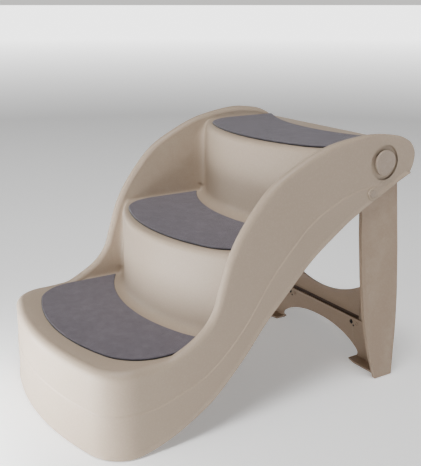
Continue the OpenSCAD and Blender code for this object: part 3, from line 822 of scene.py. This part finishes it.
def mix_colour(nt, fac, a, b):
    """A mix of two colours, each a value or a socket."""
    m = nt.nodes.new("ShaderNodeMix")
    m.data_type = "RGBA"
    nt.links.new(fac, m.inputs[0])
    for socket, value in ((m.inputs[6], a), (m.inputs[7], b)):
        if isinstance(value, tuple):
            socket.default_value = (*value, 1.0)
        else:
            nt.links.new(value, socket)
    return m.outputs[2]


def spread(nt, fac, lo, hi, low=0.3, high=0.7):
    """Stretches the values from low to high over the range from lo to hi."""
    m = nt.nodes.new("ShaderNodeMapRange")
    m.inputs["From Min"].default_value = low
    m.inputs["From Max"].default_value = high
    m.inputs["To Min"].default_value = lo
    m.inputs["To Max"].default_value = hi
    nt.links.new(fac, m.inputs["Value"])
    return m.outputs["Result"]


def bump(nt, height, strength, distance, normal=None):
    b = nt.nodes.new("ShaderNodeBump")
    b.inputs["Strength"].default_value = strength
    b.inputs["Distance"].default_value = distance
    nt.links.new(height, b.inputs["Height"])
    if normal is not None:
        nt.links.new(normal, b.inputs["Normal"])
    return b.outputs["Normal"]


def edge_mask(nt):
    """1 on the worn outer edges and 0 elsewhere."""
    geo = nt.nodes.new("ShaderNodeNewGeometry")
    return spread(nt, geo.outputs["Pointiness"], 0.0, 1.0, 0.515, 0.60)


def plastic(name, dark, light, worn, rough=(0.44, 0.50), grain=1500.0):
    mat, nt, shader, where = new_material(name)
    cloud = noise_node(nt, where, 5.0, 2.0, 0.45)
    base = ramp(nt, cloud, ((0.30, dark), (0.70, light)))
    speck = noise_node(nt, where, 420.0, 2.0, 0.5)
    base = mix_colour(nt, spread(nt, speck, 0.0, 0.22, 0.45, 0.75), base, worn)
    scuff = noise_node(nt, where, 38.0, 6.0, 0.72, 0.6)
    edges = mix_colour(nt, spread(nt, scuff, 0.05, 0.55, 0.4, 0.75), base, worn)
    colour = mix_colour(nt, edge_mask(nt), base, edges)
    nt.links.new(colour, shader.inputs["Base Color"])
    nt.links.new(spread(nt, scuff, rough[0], rough[1]), shader.inputs["Roughness"])
    wave = bump(nt, noise_node(nt, where, 14.0, 1.0, 0.4), 0.12, 0.0006)
    fine = bump(nt, noise_node(nt, where, grain, 2.0, 0.55), 0.35, 0.00012, wave)
    nt.links.new(fine, shader.inputs["Normal"])
    shader.inputs["Specular IOR Level"].default_value = 0.34
    return mat


def felt_material(name, dark, mid, light):
    mat, nt, shader, where = new_material(name)
    nap = noise_node(nt, where, 70.0, 4.0, 0.6, 0.2)
    base = ramp(nt, nap, ((0.30, dark), (0.52, mid), (0.74, light)))
    fibre = noise_node(nt, where, 1300.0, 3.0, 0.65, 0.6)
    base = mix_colour(nt, spread(nt, fibre, 0.0, 0.5, 0.4, 0.68), base, light)
    pits = noise_node(nt, where, 620.0, 3.0, 0.6)
    base = mix_colour(nt, spread(nt, pits, 0.0, 0.5, 0.5, 0.75), base, dark)
    nt.links.new(base, shader.inputs["Base Color"])
    nt.links.new(spread(nt, fibre, 0.86, 0.98), shader.inputs["Roughness"])
    coarse = bump(nt, pits, 0.5, 0.0005)
    nt.links.new(bump(nt, fibre, 0.7, 0.0004, coarse), shader.inputs["Normal"])
    shader.inputs["Sheen Weight"].default_value = 0.25
    shader.inputs["Sheen Roughness"].default_value = 0.5
    shader.inputs["Specular IOR Level"].default_value = 0.2
    return mat


def metal(name, dark, light, rough):
    mat, nt, shader, where = new_material(name)
    tone = noise_node(nt, where, 60.0, 5.0, 0.65)
    nt.links.new(ramp(nt, tone, ((0.3, dark), (0.7, light))), shader.inputs["Base Color"])
    grain = noise_node(nt, where, 500.0, 3.0)
    nt.links.new(spread(nt, grain, rough[0], rough[1]), shader.inputs["Roughness"])
    nt.links.new(bump(nt, noise_node(nt, where, 2600.0, 2.0), 0.25, 0.00005), shader.inputs["Normal"])
    shader.inputs["Metallic"].default_value = 1.0
    return mat


shell_mat = plastic("taupe_plastic", (0.360, 0.280, 0.209), (0.378, 0.296, 0.223), (0.48, 0.40, 0.31))
leg_mat = plastic("taupe_leg", (0.305, 0.220, 0.155), (0.318, 0.231, 0.164), (0.43, 0.34, 0.26))
cap_mat = plastic("taupe_cap", (0.320, 0.250, 0.195), (0.336, 0.265, 0.209), (0.46, 0.39, 0.31),
                  (0.34, 0.44), 1900.0)
felt_mat = felt_material("grey_felt", (0.078, 0.067, 0.082), (0.098, 0.085, 0.103), (0.128, 0.112, 0.134))
edge_mat = felt_material("felt_backing", (0.012, 0.011, 0.012), (0.020, 0.018, 0.020), (0.032, 0.029, 0.032))
washer_mat = plastic("white_nylon", (0.62, 0.61, 0.57), (0.70, 0.69, 0.65), (0.75, 0.74, 0.70), (0.28, 0.38))
retainer_mat = plastic("dark_plastic", (0.07, 0.06, 0.055), (0.10, 0.088, 0.08), (0.16, 0.14, 0.13))
# Near-black brown for the back face of the sunk seam: painted shade in the groove
seam_shade_mat = plastic("seam_painted_shade", (0.050, 0.028, 0.016), (0.062, 0.036, 0.022), (0.09, 0.06, 0.04))
screw_mat = metal("black_screw", (0.02, 0.02, 0.021), (0.05, 0.048, 0.047), (0.35, 0.55))
steel_mat = metal("bright_steel", (0.42, 0.43, 0.44), (0.60, 0.61, 0.62), (0.22, 0.36))
rubber_mat = plastic("black_rubber", (0.012, 0.012, 0.012), (0.022, 0.022, 0.022), (0.05, 0.05, 0.05),
                     (0.75, 0.9), 700.0)


def dress(obj, mat):
    obj.data.materials.clear()
    obj.data.materials.append(mat)
    for poly in obj.data.polygons:
        poly.material_index = 0


dress(shell, shell_mat)
for piece, rim in mats:
    dress(piece, felt_mat)
    dress(rim, edge_mat)

for piece in frame_pieces + [mark_obj]:
    dress(piece, leg_mat)
# The back faces inside the sunk seam take the near-black brown, painted shade that darkens the groove beyond
# its own shadow
upper_brace.data.materials.append(seam_shade_mat)
for poly in upper_brace.data.polygons:
    sunk = poly.center.y > (front_y + 1.5) * MM and poly.center.z < (seam_z + 6.0) * MM
    if sunk and poly.normal.y < -0.9:
        poly.material_index = 1
for piece in cap_pieces + button_pieces:
    dress(piece, cap_mat)
for piece in screw_pieces + [peg_obj]:
    dress(piece, screw_mat)

# The looks of the nodes that are shown as they come from the CAD
slots = {
    "leg_plastic": leg_mat, "button_plastic": cap_mat, "washer_plastic": washer_mat,
    "retainer_plastic": retainer_mat, "screw_steel": screw_mat, "spring_steel": steel_mat,
    "pad_rubber": rubber_mat,
}
for part in frame["record"]["subparts"]:
    if part["material_slot"] in slots:
        dress(nodes[part["node"]], slots[part["material_slot"]])

# Floor and light. The floor runs on to walls at FAR metres and glows more from GLOW_START to GLOW_END.
FAR, FAR_HEIGHT = 300.0, 12.0
FLOOR_GLOW, FAR_GLOW, GLOW_START, GLOW_END = 0.30, 3.2, 3.0, 11.0
WORLD_LIGHT, HORIZON_LIGHT = 0.10, 0.8
floor_mesh = bpy.data.meshes.new("floor")
floor_mesh.from_pydata([(x * FAR, y * FAR, z) for z in (0.0, FAR_HEIGHT)
                        for x, y in ((-1, -1), (1, -1), (1, 1), (-1, 1))], [],
                       [[0, 1, 2, 3]] + [[i, i + 4, (i + 1) % 4 + 4, (i + 1) % 4] for i in range(4)])
floor = link("floor", floor_mesh)
floor_mat, nt, shader, where = new_material("pale_floor")
tone = noise_node(nt, where, 0.6, 2.0)
nt.links.new(ramp(nt, tone, ((0.3, (0.90, 0.90, 0.90)), (0.7, (0.93, 0.93, 0.93)))),
             shader.inputs["Base Color"])
shader.inputs["Roughness"].default_value = 0.9
shader.inputs["Specular IOR Level"].default_value = 0.1
shader.inputs["Emission Color"].default_value = (1.0, 1.0, 1.0, 1.0)
away = nt.nodes.new("ShaderNodeVectorMath")
away.operation = "LENGTH"
nt.links.new(where, away.inputs[0])
nt.links.new(spread(nt, away.outputs["Value"], FLOOR_GLOW, FAR_GLOW, GLOW_START, GLOW_END),
             shader.inputs["Emission Strength"])
dress(floor, floor_mat)

world = bpy.data.worlds.new("studio")
bpy.context.scene.world = world
world.use_nodes = True
background = world.node_tree.nodes["Background"]
background.inputs["Color"].default_value = (1.0, 0.985, 0.96, 1.0)
sky = world.node_tree
height = sky.nodes.new("ShaderNodeSeparateXYZ")
sky.links.new(sky.nodes.new("ShaderNodeTexCoord").outputs["Generated"], height.inputs[0])
sky.links.new(spread(sky, height.outputs["Z"], HORIZON_LIGHT, WORLD_LIGHT, 0.05, 0.35),
              background.inputs["Strength"])


def area_light(name, location, target, size, energy, colour=(1.0, 1.0, 1.0)):
    """A soft lamp aimed at a target, itself out of the picture."""
    data = bpy.data.lights.new(name, "AREA")
    data.shape = "RECTANGLE"
    data.size, data.size_y = size
    data.energy = energy
    data.color = colour
    lamp = bpy.data.objects.new(name, data)
    lamp.visible_camera = False
    lamp.location = location
    lamp.rotation_euler = (Vector(target) - Vector(location)).to_track_quat("-Z", "Y").to_euler()
    bpy.context.scene.collection.objects.link(lamp)


area_light("top", (0.7, -0.5, 2.9), (0.0, 0.0, 0.2), (0.9, 0.9), 76.0)
area_light("front", (0.05, -3.2, 1.3), (0.0, 0.0, 0.2), (1.4, 1.2), 30.0, (0.97, 0.99, 1.0))
area_light("low_front", (-0.04, -0.50, 0.07), (-0.02, -0.25, 0.10), (0.62, 0.10), 4.4, (0.97, 0.99, 1.0))
area_light("low_left", (-2.6, -2.2, 0.35), (0.0, 0.2, 0.1), (1.2, 0.5), 20.0)
